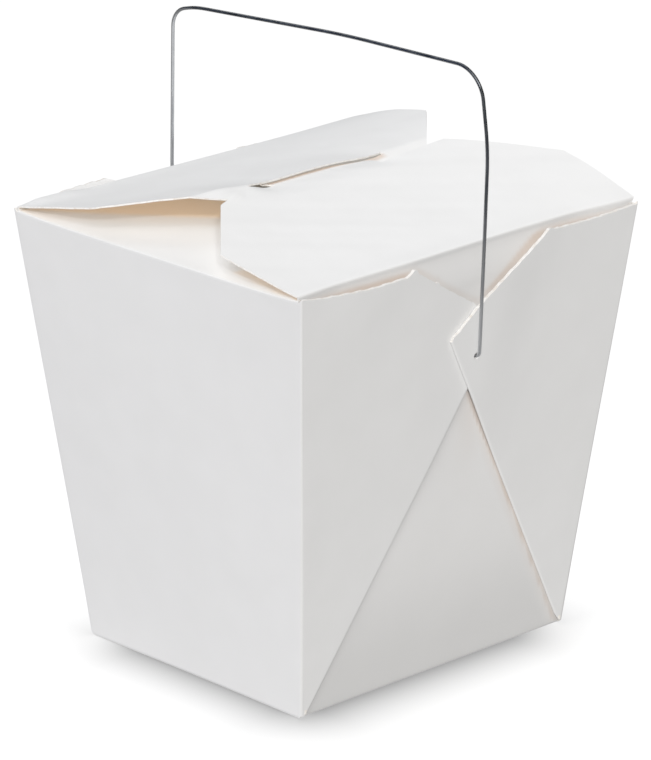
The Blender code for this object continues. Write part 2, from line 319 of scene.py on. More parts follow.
panels = {
    "behindTips": 0.5 * mm,      # how far the end panels are pressed in behind the gussets' tips
    "belowHinge": 1.6 * mm,      # and below the hinges, between the corners
    "farPress": 0.25,            # share of all this at the far end
    "sideGap": 0.6 * mm,         # between a panel's side and the upright fold
    "rows": (42, 36),            # below and above the place up the slope where they get closer
    "fineStart": 84 * mm,
    # painted shade of the end panels, and where it lies
    "shade": 0.8,                # how dark the end panels are at the base
    "shadeTop": 36 * mm,         # and where up the slope that ends
    "notchShade": 0.3,           # the same between the gussets' raw edges
    "creaseFoot": 40.8 * mm,     # where the upper gusset's lower crease meets the base, its lean and shade
    "creaseLean": 0.548,
    "creaseShade": 0.5,
    "creaseTop": (66 * mm, 70 * mm),     # where up the slope the tints along that crease fade out
}


# how far the gussets' outer faces stand off their plane: the lower one is pressed in under the upper one's
# tip, the upper one rides over it, and both stand off a little along their raw edges
def lowerLift(y, s):
    pressed = ramp(y, -14 * mm, 2 * mm) * ramp(s, *webs["crossing"])
    flare = bell(y, -30 * mm, 12 * mm) * ramp(s, 78 * mm, 100 * mm)
    return webs["flare"][0] * flare - webs["pressedIn"] * pressed


def upperLift(y, s):
    over = ramp(-y, -22 * mm, -5 * mm) * ramp(s, *webs["crossing"])
    flare = bell(y, 16 * mm, 9 * mm) * ramp(s, 78 * mm, 98 * mm)
    return webs["ridesOver"] * over + webs["flare"][1] * flare


# how far the end panel lies inside the gussets' plane: it is pressed in behind the tips, and below the hinge
# between the corners, more behind the back gusset's top
def panelDepth(y, s):
    behindTips = bell(y, 2 * mm, 16 * mm) * ramp(s, 30 * mm, 66 * mm)
    inside = ramp(y, -51 * mm, -38 * mm) * (1 - ramp(y, 30 * mm, 51 * mm))
    belowHinge = inside * (0.45 + 0.55 * ramp(y, -16 * mm, 20 * mm)) * ramp(s, 66 * mm, 100 * mm)
    lean = flaps["hingeLean"] * ramp(s, 93 * mm, flaps["hingeS"])
    return (pail["endInset"] + panels["behindTips"] * behindTips * (1 - belowHinge)
            + panels["belowHinge"] * belowHinge + lean)


# rows of the front or back panel from its base fold to its rim: height grows evenly from one to the other,
# and the top line sinks in the middle, where the dust flap's fold is soft
def panelRows(side, v, across):
    bottom = pail["foldRadius"]
    edgeTop = webs["top"] * cos(leanX)
    carried = ramp(np.abs(across), 1.0, dust["share"])
    middleTop = dust["height"] - dust["foldRadius"] + dust["cornerRise"] * np.abs(across) ** 6
    top = edgeTop + (middleTop - edgeTop) * carried
    z = bottom + v[:, None] * (top - bottom)
    edgeZ = bottom + v[:, None] * (edgeTop - bottom) + 0 * z
    least, more = pail["uprightFold"]
    foldRadius = least + more * bell(v, 0.32, 0.33)[:, None]
    x = across * (halfWidth(edgeZ) - foldRadius)
    bow = pail["bow"] * np.sin(pi * v[:, None]) * (1 - across ** 2)
    y = side * (halfDepth(z) + bow)
    return np.stack([x, y, z], axis=-1)


# a corner web on the +X end, folded double: each line runs straight from the bottom corner to the raw edge,
# then the sheet turns back round the crease and runs under itself to the corner's upright fold
def webRows(side, v, outline, lift, seed):
    edge, along = traced(np.array(outline) * mm, webs["count"])
    corner = np.array([side * (halfDepth(pail["foldRadius"]) - pail["foldRadius"]), pail["foldRadius"]])
    flat = corner + v[:, None, None] * (edge - corner)
    uneven = pail["edgeWaver"] * waver(along, 4 * mm, seed) * ramp(along, 0, 3 * mm)
    flat[..., 1] += uneven * v[:, None] ** 30        # almost only at the raw edge
    y, s = flat[..., 0], flat[..., 1]
    half = webs["foldHalf"] * np.minimum(1, v / webs["thinEnd"])[:, None]
    off = lift(y, s)
    outer = endPlace(y, s, off)
    inner = endPlace(y, s, off - 2 * half)[:, ::-1]
    crease = edge[-1] - corner
    beyond = side * np.array([-crease[1], crease[0]]) / np.linalg.norm(crease)
    turn = np.linspace(0, pi, webs["wrapSteps"] + 2)[1:-1]
    turned = flat[:, -1:] + half[..., None] * np.sin(turn)[:, None] * beyond
    wrap = endPlace(turned[..., 0], turned[..., 1], off[:, -1:] + half * (np.cos(turn) - 1))
    return np.concatenate([outer, wrap, inner], axis=1)


# the upright folds that join a panel's side to its web
def uprightFold(side, panelEdge, webEdge):
    return foldBetween(panelEdge, (1, 0, 0), webEdge, (0, -side, 0), pail["foldSteps"]).transpose(1, 0, 2)


# a dust flap: rows run from its tip to the rim's fold, level but for a slight sag inwards
def dustRows(side, across):
    inward = np.linspace(dust["length"], dust["foldRadius"], dust["rows"])[:, None]
    half = (halfWidth(pail["rimHeight"]) - dust["sideGap"]) - dust["taper"] * inward
    x = across / dust["share"] * half
    y = side * (pail["rimHalfY"] - dust["setBack"] - inward) + 0 * x
    z = dust["height"] + dust["cornerRise"] * np.abs(across) ** 6 - dust["sag"] * inward + 0 * x
    return np.stack([x, y, z], axis=-1)


# painted warm shadow on a dust flap under the lid, how tan it looks: behind a line beside the slotted flap's
# clipped corner, and beside the other flap's straight side, where it closes like a wedge. d is the distance over
# the first line
def dustPaintedShadow(x, y):
    start, end = flaps["slotClip"][0]
    run = np.array([flaps["reach"] - start, flaps["halfWidth"] - end])
    run /= np.linalg.norm(run)
    d = (x + flaps["hingeX"] - start) * run[1] - (y + flaps["halfWidth"]) * run[0]
    gap = flaps["tongueSide"][0] * (flaps["hingeX"] - x) / flaps["straight"]
    wedge = ramp(y + flaps["halfWidth"], 0.9 * gap, 1.4 * gap + 0.1 * mm) * ramp(x, 19 * mm, 21 * mm)
    deep = 0.75 * (1 - ramp(d, *dust["deepPaintedShadow"])) + 0.25 * (1 - ramp(d, *dust["faintPaintedShadow"]))
    return dust["warmth"] * np.maximum(deep, 0.6 * wedge)


# one sheet round the box: dust flap, front panel, base, back panel, dust flap, with a web at each corner.
# All its rows are stacked into one grid, as wide as a panel with its webs and blank where there is no web
def makeBand(finishes):
    # rows from the base to the rim, closer at both ends, and columns from side to side
    v = np.unique(np.concatenate([np.linspace(0, 1, pail["rows"]), [0.004, 0.012, 0.98, 0.99, 0.996]]))
    across = np.concatenate([[-1], np.linspace(-dust["share"], dust["share"], pail["columns"]), [1]])
    parts, keep = [], []
    halves = {}
    for side, place, lift, seeds in ((-1, "front", lowerLift, (3, 7)), (1, "back", upperLift, (5, 9))):
        panel = panelRows(side, v, across)
        corners = []
        for end, seed in zip(("Near", "Far"), seeds):
            web = webRows(side, v, webs[place + end], lift, seed)
            corners.append(np.concatenate([uprightFold(side, panel[:, -1], web[:, 0]), web], axis=1))
        halves[side] = (corners[1][:, ::-1] * (-1, 1, 1), panel, corners[0])
    wings = halves[-1][0].shape[1]

    # wide rows have webs, and the others get blank cells on both sides
    def addRows(rows, wide):
        blank = np.zeros((len(rows), 0 if wide else wings, 3))
        parts.append(np.concatenate([blank, rows, blank], axis=1))
        keep.extend([wide] * len(rows))

    # up the panel and over into its dust flap
    def rimFold(side, rimRow, flapRow):
        upPanel = (0, side * sin(leanY), cos(leanY))
        return foldBetween(rimRow, upPanel, flapRow, (0, -side, 0), pail["rimSteps"])

    frontDust, backDust = dustRows(-1, across), dustRows(1, across)
    frontPanel, backPanel = halves[-1][1], halves[1][1]
    baseY = np.linspace(-1, 1, pail["baseRows"])[:, None] * (pail["baseHalfY"] - pail["foldRadius"])
    baseX = across * (pail["baseHalfX"] - pail["baseInset"]) + 0 * baseY
    base = np.stack([baseX, baseY + 0 * baseX, 0 * baseX], axis=-1)
    down, back, up = (0, sin(leanY), -cos(leanY)), (0, 1, 0), (0, sin(leanY), cos(leanY))
    addRows(frontDust, False)
    addRows(rimFold(-1, frontPanel[-1], frontDust[-1])[::-1], False)
    addRows(np.concatenate(halves[-1], axis=1)[::-1], True)
    addRows(foldBetween(frontPanel[0], down, base[0], back, pail["foldSteps"]), False)
    addRows(base, False)
    addRows(foldBetween(base[-1], back, backPanel[0], up, pail["foldSteps"]), False)
    addRows(np.concatenate(halves[1], axis=1), True)
    addRows(rimFold(1, backPanel[-1], backDust[-1]), False)
    addRows(backDust[::-1], False)
    points = np.concatenate(parts)
    wide = np.array(keep)
    last = points.shape[1] - 2
    cell = np.arange(last + 1)
    middle = (cell >= wings) & (cell <= last - wings)
    carried = (cell > wings) & (cell < last - wings)
    kept = np.where((wide[:-1] & wide[1:])[:, None], True, middle)
    flapEnd = len(frontDust)
    foldEnd = flapEnd + pail["rimSteps"]
    kept[:foldEnd] = carried
    kept[-foldEnd:] = carried
    # painted shade: warm shadow on the dust flaps, greyer lit parts, and grey folds that dim their highlights
    warmth, shade = np.zeros((2, *points.shape[:2]))
    warmth[:flapEnd] = dustPaintedShadow(points[:flapEnd, :, 0], points[:flapEnd, :, 1])
    shade[:flapEnd] = dust["shade"] * (1 - warmth[:flapEnd]).clip(0)
    shade[flapEnd:foldEnd] = dust["foldShade"]
    for start in (wings - pail["foldSteps"], wings + len(across)):
        shade[:, start:start + pail["foldSteps"]] = pail["foldShade"]
    print("band", points.shape, int(kept.sum()))
    return boardPiece("panelBand", gridMesh("panelBand", points, kept, warmth=warmth, shade=shade), finishes)


# half width of a flap on one side: straight, then clipped towards its value at the reach, then tapering
def flapSide(u, clip, taper):
    start, end = clip
    slope = (flaps["halfWidth"] - end) / (flaps["reach"] - start)
    side = flaps["halfWidth"] - slope * (np.minimum(u, flaps["reach"]) - start).clip(0)
    return side - taper * (u - flaps["reach"]).clip(0)


# height of a flap's top over the rim, u in from its hinge: a parabola in u and in y, through the heights
# given at the straight sides' ends and at the reach
def rise(u, y, side, tip):
    share = y / (flaps["halfWidth"] - (u - flaps["straight"]).clip(0))
    atSide, atTip = (
        middle + (back - front) / 2 * share + ((back + front) / 2 - middle) * share ** 2
        for front, middle, back in (side, tip)
    )
    reach, straight = flaps["reach"], flaps["straight"]
    bySide = u * (reach - u) / (straight * (reach - straight))
    byTip = u * (u - straight) / (reach * (reach - straight))
    lip = flaps["lip"] * (1 - ramp(u, 0, 6 * mm))
    warp = flaps["warp"] * waver(u + 0.6 * y, 37 * mm, 11) * ramp(u, 4 * mm, 15 * mm)
    return lip + warp + atSide * bySide + atTip * byTip


# the slotted crease's height along the box: the flap's own height there and a few bells
def creaseHeight(y):
    swells = sum(height * bell(y, place, width) for place, height, width in flaps["creaseSwells"])
    return rise(np.full_like(y, flaps["reach"]), y, flaps["slotSide"], flaps["slotTip"]) + swells


# the tongue carries the flap on, and curls down so that it enters the slot under the other flap's edge:
# the drop grows with the square of the way from the curl's start
def tongueHeight(u, y):
    flat = rise(u, y, flaps["tongueSide"], flaps["tongueTip"])
    front, back = flaps["tongue"]
    atSlot = 2 * flaps["hingeX"] - flaps["reach"]
    gap = np.interp(y, (front, 0, back), flaps["tongueGaps"])
    wanted = creaseHeight(y) - pail["board"] - gap
    there = rise(np.full_like(y, atSlot), y, flaps["tongueSide"], flaps["tongueTip"])
    ease = 3 * mm
    mouth = 1.8 * ease           # the curl starts this far before the tongue, which opens the slot's mouth
    curl = ((u - flaps["curlStart"]).clip(0) / (atSlot - flaps["curlStart"])) ** 2
    height = flat - (there - wanted) * curl * within(y, (front - mouth, back + ease), ease)
    resting = slotHeight(2 * flaps["hingeX"] - u, y) + pail["board"] + flaps["rest"]
    stripSide = flaps["slotClip"][0][1] - flaps["stripTaper"][0] * (atSlot - u)
    overStrip = (ramp(y + stripSide, 0, 2 * mm) * (u < flaps["reach"] + flaps["shoulder"][0])
                 * (u > flaps["curlStart"]))
    return height + overStrip * (resting - height).clip(0)


# up to the crease, then down again at a slope, with a dip where the tongue lies on the strip
def slotHeight(u, y):
    beyond = (u - flaps["reach"]).clip(0)
    nearCrease = ramp(u, 26 * mm, flaps["reach"])
    flat = rise(np.minimum(u, flaps["reach"]), y, flaps["slotSide"], flaps["slotTip"])
    level = creaseHeight(y) - rise(np.full_like(y, flaps["reach"]), y, flaps["slotSide"], flaps["slotTip"])
    front, back = flaps["slot"]
    dip = (ramp(y, front - 1 * mm, front + 4 * mm) * (1 - 0.8 * ramp(y, back - 8.5 * mm, back - 5 * mm))
           * (1 - ramp(y, back - 3 * mm, back)) * (1 - ramp(beyond, flaps["slotGap"], flaps["dipLength"])))
    bulge = (flaps["cornerSwell"] * ramp(y, -51.3 * mm, -45 * mm) * (1 - ramp(y, -40 * mm, -30 * mm))
             * (1 - ramp(u, 1 * mm, 9 * mm)))
    dipped = flaps["stripDip"] * dip * (beyond > 0)
    return flat + bulge + level * nearCrease - beyond * tan(flaps["stripSlope"]) - dipped


# how far a point of the end panel is from the lower crease of the upper gusset, a straight line in y and s
def creaseDistance(y, s):
    return panels["creaseFoot"] - panels["creaseLean"] * s - y


# painted warm shade on the end panel, how tan it looks: most in the gap just over the gussets' raw edges, as seen
# a little from above and from the front, a little between the crossing creases, and in a line with a soft
# painted glow along the upper gusset's lower crease
def panelPaintedWarmShade(y, s):
    edge = webs["frontNear"][:-1] + webs["backNear"][:11][::-1]
    seen = np.interp(y - webs["seenAside"], *(np.array(edge).T * mm)) - webs["seenBelow"]
    overEdge = (1 - ramp(s - seen, 0.3 * mm, 2.1 * mm)) * ramp(s, 86 * mm, 91 * mm)
    aside = 0.4 + 0.6 * np.maximum(ramp(y, 1 * mm, 5 * mm), 1 - ramp(y, -19 * mm, -16 * mm))
    belowFold = 1 - 0.8 * ramp(s, 99.2 * mm, flaps["hingeS"])
    betweenCreases = bell(s, 64 * mm, 11 * mm) * bell(y, 5 * mm, 4 * mm)
    fromCrease = creaseDistance(y, s)
    line = 1 - ramp(fromCrease, 0.9 * mm, 1.5 * mm)
    paintedWarmTint = 1 - ramp(fromCrease, 1.2 * mm, 4.5 * mm)
    alongCrease = (0.9 * line + 0.25 * paintedWarmTint) * (1 - ramp(s, *panels["creaseTop"]))
    overall = 0.04
    return np.maximum(np.maximum(0.85 * overEdge * aside * belowFold, 0.25 * betweenCreases),
                      alongCrease) + overall


# painted shade on the end panel: dark at the base, but less beside the upper gusset's lower crease, a little
# in the notch over the gussets, and in a thin line along that crease
def panelShade(y, s):
    fromCrease = creaseDistance(y, s)
    atBase = (panels["shade"] * (1 - ramp(s, 3 * mm, panels["shadeTop"]))
              * (0.3 + 0.7 * ramp(fromCrease, 0.9 * mm, 5 * mm)))
    inNotch = panels["notchShade"] * ramp(s, 80 * mm, 86 * mm) * (1 - ramp(s, 94 * mm, flaps["hingeS"]))
    alongCrease = (panels["creaseShade"] * (1 - ramp(fromCrease, 0.8 * mm, 1.4 * mm))
                   * (1 - ramp(s, *panels["creaseTop"])))
    return (atBase + inNotch + alongCrease).clip(0, 1)


# an end panel with the lid flap hinged on it: base fold, panel, hinge fold, flap, and tongue or strip. Lines
# run from side to side, with even columns between the two places in middle, and isOpen says which cells past
# the hinge are cut away. Both ends are made at +X, and sign turns the one for -X over
def endSheet(name, sign, middle, height, clips, tapers, tailU, isOpen, finishes):
    coarse, fine = panels["rows"]
    panelS = np.concatenate([np.linspace(pail["foldRadius"], panels["fineStart"], coarse),
                             np.linspace(panels["fineStart"], flaps["hingeS"], fine)[1:]])[:, None]
    straight, clipped = flaps["rows"]
    flapU = np.concatenate([np.linspace(flaps["hingeStart"], clips[0][0], straight),
                            np.linspace(clips[0][0], flaps["reach"], clipped)[1:], tailU])[:, None]
    share = np.linspace(0, 1, flaps["sideColumns"])[None]

    # y of each column, for rows that run from -front to back
    def columnsFor(front, back):
        inner = np.linspace(*middle, flaps["middleColumns"])[None] + 0 * back
        return np.concatenate([-front + (middle[0] + front) * share[:, :-1], inner,
                               middle[1] + (back - middle[1]) * share[:, 1:]], axis=1)

    inset = pail["endInset"]
    panelHalf = halfDepth(panelS) - panels["sideGap"]
    panelY = columnsFor(panelHalf, panelHalf)
    pressShare = 1.0 if sign > 0 else panels["farPress"]
    panel = endPlace(panelY, panelS, -inset - pressShare * (panelDepth(panelY, panelS) - inset))
    flapY = columnsFor(*(flapSide(flapU, clip, taper) for clip, taper in zip(clips, tapers)))
    pressed = pressShare * (panelDepth(flapY, flaps["hingeS"]) - flaps["hingeLean"] - inset)
    x = flaps["hingeX"] - flapU - pressed * (1 - ramp(flapU, 0, 12 * mm))
    flap = np.stack(np.broadcast_arrays(x, flapY, pail["rimHeight"] + height(flapU, flapY)), axis=-1)
    upSlope = (sin(leanX), 0, cos(leanX))
    inward = flap[1] - flap[0]
    inward /= np.linalg.norm(inward, axis=-1, keepdims=True)
    hinge = foldBetween(panel[-1], upSlope, flap[0], inward, pail["hingeSteps"])
    baseRow = panel[0] * (1, 1, 0)
    baseRow[:, 0] = pail["baseHalfX"] - pail["baseInset"]
    baseFold = foldBetween(baseRow, (1, 0, 0), panel[0], upSlope, pail["foldSteps"])
    points = np.concatenate([baseRow[None], baseFold, panel, hinge, flap])
    kept = np.ones((points.shape[0] - 1, points.shape[1] - 1), bool)
    cellU = ((flapU[:-1] + flapU[1:]) / 2) + 0 * flapY[:-1, :-1]
    cellY = (flapY[:-1, :-1] + flapY[1:, 1:]) / 2
    kept[-len(cellU):] = ~isOpen(cellU, cellY)
    # painted warm shade in the slot: its edges are tan past the place where the tongue goes in, or just past the
    # slotted crease
    beyond = flapU - flaps["reach"]
    enters = 2 * (flaps["hingeX"] - flaps["reach"])
    start, end = (enters - 0.6 * mm, enters) if sign > 0 else (0, 0.1 * mm)
    atSlot = (ramp(beyond, start, end) * (1 - ramp(beyond, end + 1.0 * mm, end + 2.5 * mm))
              * within(flapY, flaps["slot"], 1 * mm))
    # painted shade: the base and its fold are as dark as the panel's base
    atBase, atHinge = (np.zeros((rows, points.shape[1])) for rows in (1 + len(baseFold), len(hinge)))
    warmth = np.concatenate([atBase, panelPaintedWarmShade(panelY, panelS), atHinge, atSlot])
    shade = np.concatenate([atBase + panels["shade"], panelShade(panelY, panelS), atHinge, 0 * atSlot])
    if sign > 0:
        points, kept, warmth, shade = points[:, ::-1], kept[:, ::-1], warmth[:, ::-1], shade[:, ::-1]
    mesh = gridMesh(name, points * (sign, 1, 1), kept, warmth=warmth, shade=shade)
    print(name, points.shape, int(kept.sum()))
    return boardPiece(name, mesh, finishes)


# the two end sheets: the tongue of the one goes down through the slot of the other
def makeLid(finishes):
    reach = flaps["reach"]
    shoulder, narrowing = flaps["shoulder"]
    front, back = flaps["tongue"]
    tongueU = reach + np.concatenate([np.linspace(0, shoulder, 7)[1:],
                                      np.linspace(shoulder, flaps["tongueLength"], 6)[1:]])
    stripU = np.linspace(reach + flaps["slotGap"], reach + flaps["stripLength"], 12)

    # what is cut away beside the tongue, and at the slot
    def besideTongue(u, y):
        return ((u > reach) & (y > back)) | ((u > reach + shoulder) & (y < front))

    def inSlot(u, y):
        start, end = flaps["slot"]
        return (u > reach) & (u < reach + flaps["slotGap"]) & (y > start) & (y < end)

    tongueFlap = endSheet("tongueEnd", 1, flaps["tongue"], tongueHeight, flaps["tongueClip"],
                          (narrowing, 1.0), tongueU, besideTongue, finishes)
    slotFlap = endSheet("slotEnd", -1, flaps["slot"], slotHeight, flaps["slotClip"], flaps["stripTaper"],
                        stripU, inSlot, finishes)
    return tongueFlap, slotFlap


bail = {
    "radius": 0.42 * mm,
    "sides": 20,
    "lean": radians(5),
    # in millimetres: the ends' x, and the bends from left to right, as (x, height over the holes, radius)
    "endX": 39.0,
    "bends": [(-44.8, 0.0, 1.5), (-52.5, 21.0, 14.0), (-47.5, 61.6, 6.0), (-40.0, 63.7, 30.0),
              (8.0, 66.6, 330.0), (50.1, 67.1, 7.2), (51.0, 49.0, 60.0), (48.3, 27.0, 45.0),
              (44.8, 0.0, 1.5)],
}


# straight runs joined by arcs, each arc touching the runs before and after its bend
def roundBends(bends):
    ends = [Vector((-bail["endX"], 0.0)), Vector((bail["endX"], 0.0))]
    corners = [ends[0]] + [Vector(b[:2]) for b in bends] + [ends[1]]
    path = [corners[0]]
    for before, corner, after, bend in zip(corners, corners[1:], corners[2:], bends):
        back, ahead = (before - corner).normalized(), (after - corner).normalized()
        halfAngle = back.angle(ahead) / 2
        centre = corner + (back + ahead).normalized() * bend[2] / sin(halfAngle)
        start = corner + back * bend[2] / tan(halfAngle) - centre
        end = corner + ahead * bend[2] / tan(halfAngle) - centre
        first, turn = atan2(start.y, start.x), start.angle_signed(end)
        steps = max(6, round(abs(turn) / radians(5)))
        path += [centre + bend[2] * Vector((cos(first - turn * i / steps), sin(first - turn * i / steps)))
                 for i in range(steps + 1)]
    return np.array(path + [corners[-1]]) * mm


# a round rod along a path: a ring of sides at each point, square to the path there. Its attribute drawn
# holds the place across the rod and, as Z, the length along it
def rodMesh(name, path, radius, sides):
    way = np.gradient(path, axis=0)
    way /= np.linalg.norm(way, axis=1, keepdims=True)
    across = np.cross(way, [0.0, 1.0, 0.0])
    across /= np.linalg.norm(across, axis=1, keepdims=True)
    other = np.cross(way, across)
    angle = np.linspace(0, 2 * pi, sides, endpoint=False)
    rings = (path[:, None] + radius * (np.cos(angle)[None, :, None] * across[:, None]
                                       + np.sin(angle)[None, :, None] * other[:, None]))
    ring = np.arange(sides)
    lastRing = (len(path) - 1) * sides
    first, following = (np.add.outer(np.arange(0, lastRing, sides), corner).ravel()
                        for corner in (ring, np.roll(ring, -1)))
    faces = np.stack([first, following, following + sides, first + sides], axis=-1).tolist()
    faces += [ring[::-1].tolist(), (lastRing + ring).tolist()]
    mesh = bpy.data.meshes.new(name)
    mesh.from_pydata(rings.reshape(-1, 3).tolist(), [], faces)
    reached = np.concatenate([[0], np.cumsum(np.linalg.norm(np.diff(path, axis=0), axis=1))])
    drawn = np.stack(np.broadcast_arrays(radius * np.cos(angle), radius * np.sin(angle), reached[:, None]),
                     axis=-1)
    mesh.attributes.new("drawn", "FLOAT_VECTOR", "POINT").data.foreach_set("vector", drawn.ravel())
    form = bmesh.new()
    form.from_mesh(mesh)
    bmesh.ops.recalc_face_normals(form, faces=form.faces)
    form.to_mesh(mesh)
    form.free()
    return mesh


# the wire: its path is laid out flat, leant about the line of the holes and moved to it
def makeBail(finish):
    flat = roundBends(bail["bends"])
    path = np.stack([flat[:, 0], 0 * flat[:, 0], flat[:, 1]], axis=-1)
    mesh = rodMesh("wireBail", path, bail["radius"], bail["sides"])
    mesh.transform(Matrix.Translation(pivot) @ Matrix.Rotation(bail["lean"], 4, "X"))
    mesh.materials.append(finish)
    print("wireBail", path.shape)
    return settle(addObject("wireBail", mesh), radians(40))


# a material and its nodes, all on Object coordinates or on one attribute of the mesh
class Recipe:
    # starts with a colour and roughness
    def __init__(self, name, colour, roughness, metallic=0.0, attribute=None):
        self.material = bpy.data.materials.new(name)
        self.material.use_nodes = True
        self.tree = self.material.node_tree
        self.shader = self.tree.nodes["Principled BSDF"]
        self.shader.inputs["Base Color"].default_value = (*colour, 1)
        self.shader.inputs["Roughness"].default_value = roughness
        self.shader.inputs["Metallic"].default_value = metallic
        source = self.tree.nodes.new("ShaderNodeAttribute" if attribute else "ShaderNodeTexCoord")
        if attribute:
            source.attribute_name = attribute
        self.place = source.outputs["Vector" if attribute else "Object"]

    # noise whose specks have a size in metres, stretched along each axis
    def noise(self, size, stretch=(1, 1, 1), detail=3.0):
        mapping = self.tree.nodes.new("ShaderNodeMapping")
        mapping.inputs["Scale"].default_value = [1 / (size * long) for long in stretch]
        self.tree.links.new(self.place, mapping.inputs["Vector"])
        texture = self.tree.nodes.new("ShaderNodeTexNoise")
        texture.inputs["Scale"].default_value = 1.0
        texture.inputs["Detail"].default_value = detail
        self.tree.links.new(mapping.outputs["Vector"], texture.inputs["Vector"])
        return texture.outputs["Fac"]

    # from low to high as the value goes from start to end
    def between(self, value, low=0.0, high=1.0, start=0.3, end=0.7):
        limits = self.tree.nodes.new("ShaderNodeMapRange")
        for socket, number in zip(("From Min", "From Max", "To Min", "To Max"), (start, end, low, high)):
            limits.inputs[socket].default_value = number
        self.tree.links.new(value, limits.inputs["Value"])
        return limits.outputs["Result"]

    # the first colour at share 0 and the second at 1
    def mix(self, share, first, second):
        node = self.tree.nodes.new("ShaderNodeMix")
        node.data_type = "RGBA"
        for socket, colour in ((node.inputs[6], first), (node.inputs[7], second)):
            if isinstance(colour, tuple):
                socket.default_value = (*colour, 1)
            else:
                self.tree.links.new(colour, socket)
        self.tree.links.new(share, node.inputs[0])
        return node.outputs[2]

    # relief as deep as distance, on top of another one's normal
    def bump(self, height, distance, under=None):
        node = self.tree.nodes.new("ShaderNodeBump")
        node.inputs["Strength"].default_value = 1.0
        node.inputs["Distance"].default_value = distance
        self.tree.links.new(height, node.inputs["Height"])
        if under:
            self.tree.links.new(under, node.inputs["Normal"])
        return node.outputs["Normal"]

    # how far along the wire, from the attribute's Z
    def along(self):
        parts = self.tree.nodes.new("ShaderNodeSeparateXYZ")
        self.tree.links.new(self.place, parts.inputs["Vector"])
        return parts.outputs["Z"]

    # a value that the mesh has at each point
    def attribute(self, name):
        node = self.tree.nodes.new("ShaderNodeAttribute")
        node.attribute_name = name
        return node.outputs["Fac"]

    # links an output to each named socket of the shader, which completes the material
    def finish(self, **sockets):
        for name, output in sockets.items():
            self.tree.links.new(output, self.shader.inputs[name.replace("_", " ")])
        return self.material


board = {
    "white": (0.862, 0.856, 0.848),
    "cloud": (0.842, 0.836, 0.826),
    # painted shade: the next three colours tint painted warm shade on the band and the ends, and painted shade
    "paintedWarmTint": (1.0, 0.70, 0.42),   # tints under the lid, in the gaps, and where little light comes
    "tan": (0.62, 0.48, 0.38),
    "shade": (0.62, 0.612, 0.60),
    "cream": (0.92, 0.87, 0.80),
    "creamFibre": (0.88, 0.82, 0.74),
    "edge": (0.77, 0.75, 0.72),
    "edgeShade": (0.62, 0.56, 0.49),
    "fibre": 0.35 * mm,          # width of the fibres
    "clouds": 9 * mm,            # size of the soft clouds, half that of the dents
    "coatRoughness": (0.44, 0.58),
    "coatBump": 0.012 * mm,      # depth of the fibres under the coating, and of the dents
    "dents": 0.25 * mm,
    "creamRoughness": (0.62, 0.78),
    "creamBump": 0.03 * mm,
    "edgeRoughness": (0.7, 0.9),
    "edgeBump": 0.05 * mm,
}


# the coated outer face: white with soft clouds, fibres and dents, tinted with painted warm shade and
# painted shade from two attributes
def makeWhite(name, paintedTint):
    recipe = Recipe(name, board["white"], 0.5)
    clouds = recipe.noise(board["clouds"], detail=4.0)
    fibres = recipe.noise(board["fibre"], (2, 2, 7), 2.0)
    white = recipe.mix(recipe.between(clouds), board["white"], board["cloud"])
    withPaintedWarmShade = recipe.mix(recipe.attribute("warmth"), white, paintedTint)
    shaded = recipe.mix(recipe.attribute("shade"), withPaintedWarmShade, board["shade"])
    dents = recipe.bump(recipe.noise(board["clouds"] * 2, detail=2.0), board["dents"])
    return recipe.finish(Base_Color=shaded, Roughness=recipe.between(fibres, *board["coatRoughness"]),
                         Normal=recipe.bump(fibres, board["coatBump"], under=dents))


# the uncoated inner face, with long fibres
def makeCream():
    recipe = Recipe("cream_side", board["cream"], 0.7)
    fibres = recipe.noise(board["fibre"], (1, 1, 6), 4.0)
    colour = recipe.mix(recipe.between(fibres), board["cream"], board["creamFibre"])
    return recipe.finish(Base_Color=colour, Roughness=recipe.between(fibres, *board["creamRoughness"]),
                         Normal=recipe.bump(fibres, board["creamBump"]))


# the cut edge of the board, rough and a little darker in places
def makeEdge():
    recipe = Recipe("raw_edge", board["edge"], 0.8)
    torn = recipe.noise(board["fibre"] * 3, detail=4.0)
    colour = recipe.mix(recipe.between(torn, 0.0, 1.0, 0.45, 0.7), board["edge"], board["edgeShade"])
    return recipe.finish(Base_Color=colour, Roughness=recipe.between(torn, *board["edgeRoughness"]),
                         Normal=recipe.bump(torn, board["edgeBump"]))


steel = {
    # painted reflection: the dark colours over the top of the wire and the light ones on its legs
    "reflectedDark": (0.055, 0.06, 0.07),
    "reflectedDarkStreak": (0.006, 0.007, 0.009),
    "reflectedBright": (0.80, 0.82, 0.84),
    "reflectedBrightStreak": (0.22, 0.23, 0.25),
    "patch": (0.18, 0.20, 0.22),
    "streakWidth": 0.16 * mm,
    "patchSize": 4 * mm,
    "roughness": (0.2, 0.42),
    "bump": 0.02 * mm,
    # where along the wire the painted reflection turns from dark to light: down the left leg, and low on the right one
    "legs": ((76 * mm, 64 * mm), (192 * mm, 226 * mm)),
}


